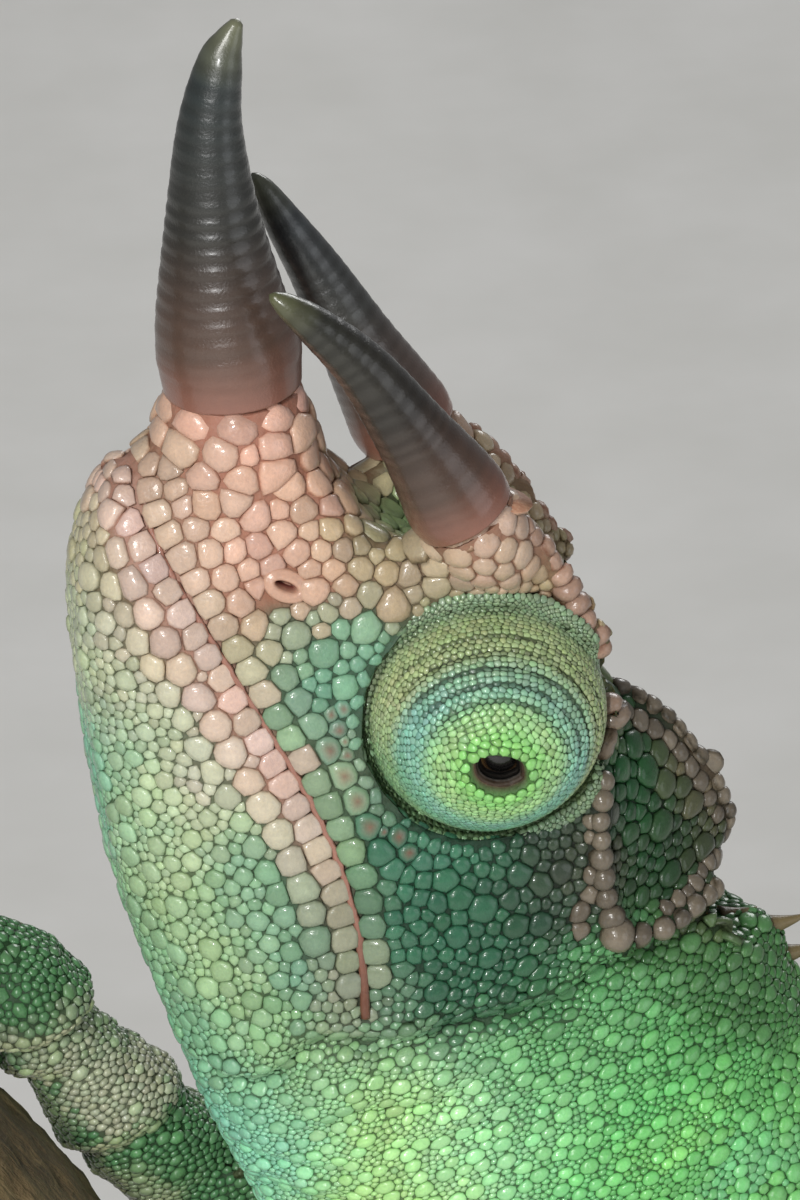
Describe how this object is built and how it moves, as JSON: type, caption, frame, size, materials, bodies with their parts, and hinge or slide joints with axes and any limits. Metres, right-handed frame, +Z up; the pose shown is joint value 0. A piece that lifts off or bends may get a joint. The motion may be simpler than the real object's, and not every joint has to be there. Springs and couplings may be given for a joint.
{
  "type": "jacksons chameleon",
  "caption": "Still life-size Jackson's chameleon climbing a cut length of branch, three horns forward and tail coiled, on a flat display stand.",
  "frame": {"origin": "on the floor, under the point between the eyes' centres", "axes": "+Z up; the animal's midplane is XZ, it faces -X and upwards, and its left side is towards -Y"},
  "size_m": [0.1235, 0.076, 0.1821],
  "materials": {
    "head_skin": "glossy scaled skin, pink and cream at the snout, teal behind",
    "body_skin": "satin scaled skin, green",
    "turret_skin": "satin fine-scaled skin, yellow green and teal",
    "eye": "glossy dark",
    "horn": "ringed horn, semi-gloss",
    "bark": "rough bark, sawn ends",
    "base_wood": "satin varnished",
    "rod_steel": "brushed"
  },
  "bodies": {
    "root": {"head": "head_skin", "jaw": "head_skin", "eye_turret_left": "turret_skin", "eye_turret_right": "turret_skin", "eye_left": "eye", "eye_right": "eye", "horn_rostral": "horn", "horn_left": "horn", "horn_right": "horn", "neck": "body_skin", "torso": "body_skin", "tail_base": "body_skin", "tail_bend": "body_skin", "tail_lower": "body_skin", "tail_outer": "body_skin", "tail_inner": "body_skin", "tail_tip": "body_skin", "leg_fore_left_upper": "body_skin", "leg_fore_left_lower": "body_skin", "foot_fore_left": "body_skin", "leg_fore_right_upper": "body_skin", "leg_fore_right_lower": "body_skin", "foot_fore_right": "body_skin", "leg_hind_left_upper": "body_skin", "leg_hind_left_lower": "body_skin", "foot_hind_left": "body_skin", "leg_hind_right_upper": "body_skin", "leg_hind_right_lower": "body_skin", "foot_hind_right": "body_skin", "perch": "bark", "stand_base": "base_wood", "stand_rod_1": "rod_steel", "stand_rod_2": "rod_steel"}
  },
  "joints": []
}
